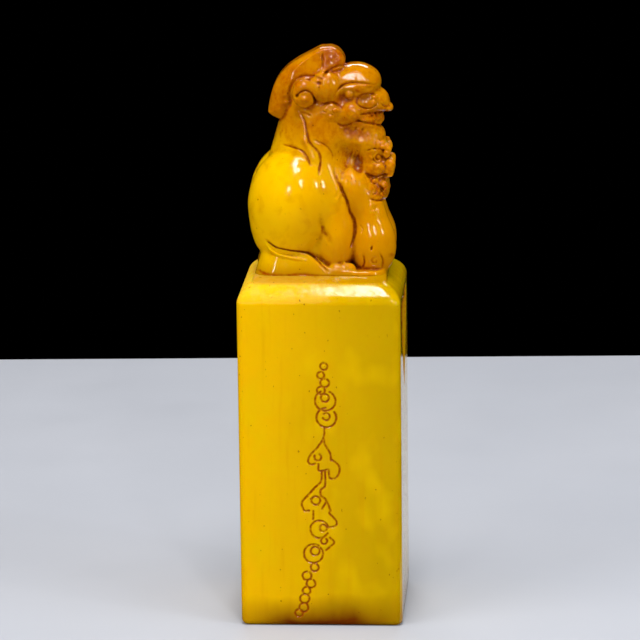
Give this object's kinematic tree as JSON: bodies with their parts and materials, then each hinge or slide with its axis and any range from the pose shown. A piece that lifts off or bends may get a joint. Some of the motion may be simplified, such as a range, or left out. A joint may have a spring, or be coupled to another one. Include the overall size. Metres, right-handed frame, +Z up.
{
  "type": "seal stamp",
  "caption": "Square polished stone seal stamp with a carved seated mythic beast as its knob and a relief sealing face beneath.",
  "frame": {"origin": "middle of the sealing face, on the plane that meets the paper", "axes": "+Z up along the column, +X where the beast looks, -Y the side with the front ornament"},
  "size_m": [0.025, 0.025, 0.0889],
  "materials": {
    "column_stone": "polished, yellow, lightly translucent",
    "knob_stone": "polished, yellow, rust-brown in its recesses"
  },
  "bodies": {
    "root": {"seal_column": "column_stone", "sealing_face": "column_stone", "knob_plinth": "knob_stone", "beast_knob": "knob_stone"}
  },
  "joints": []
}
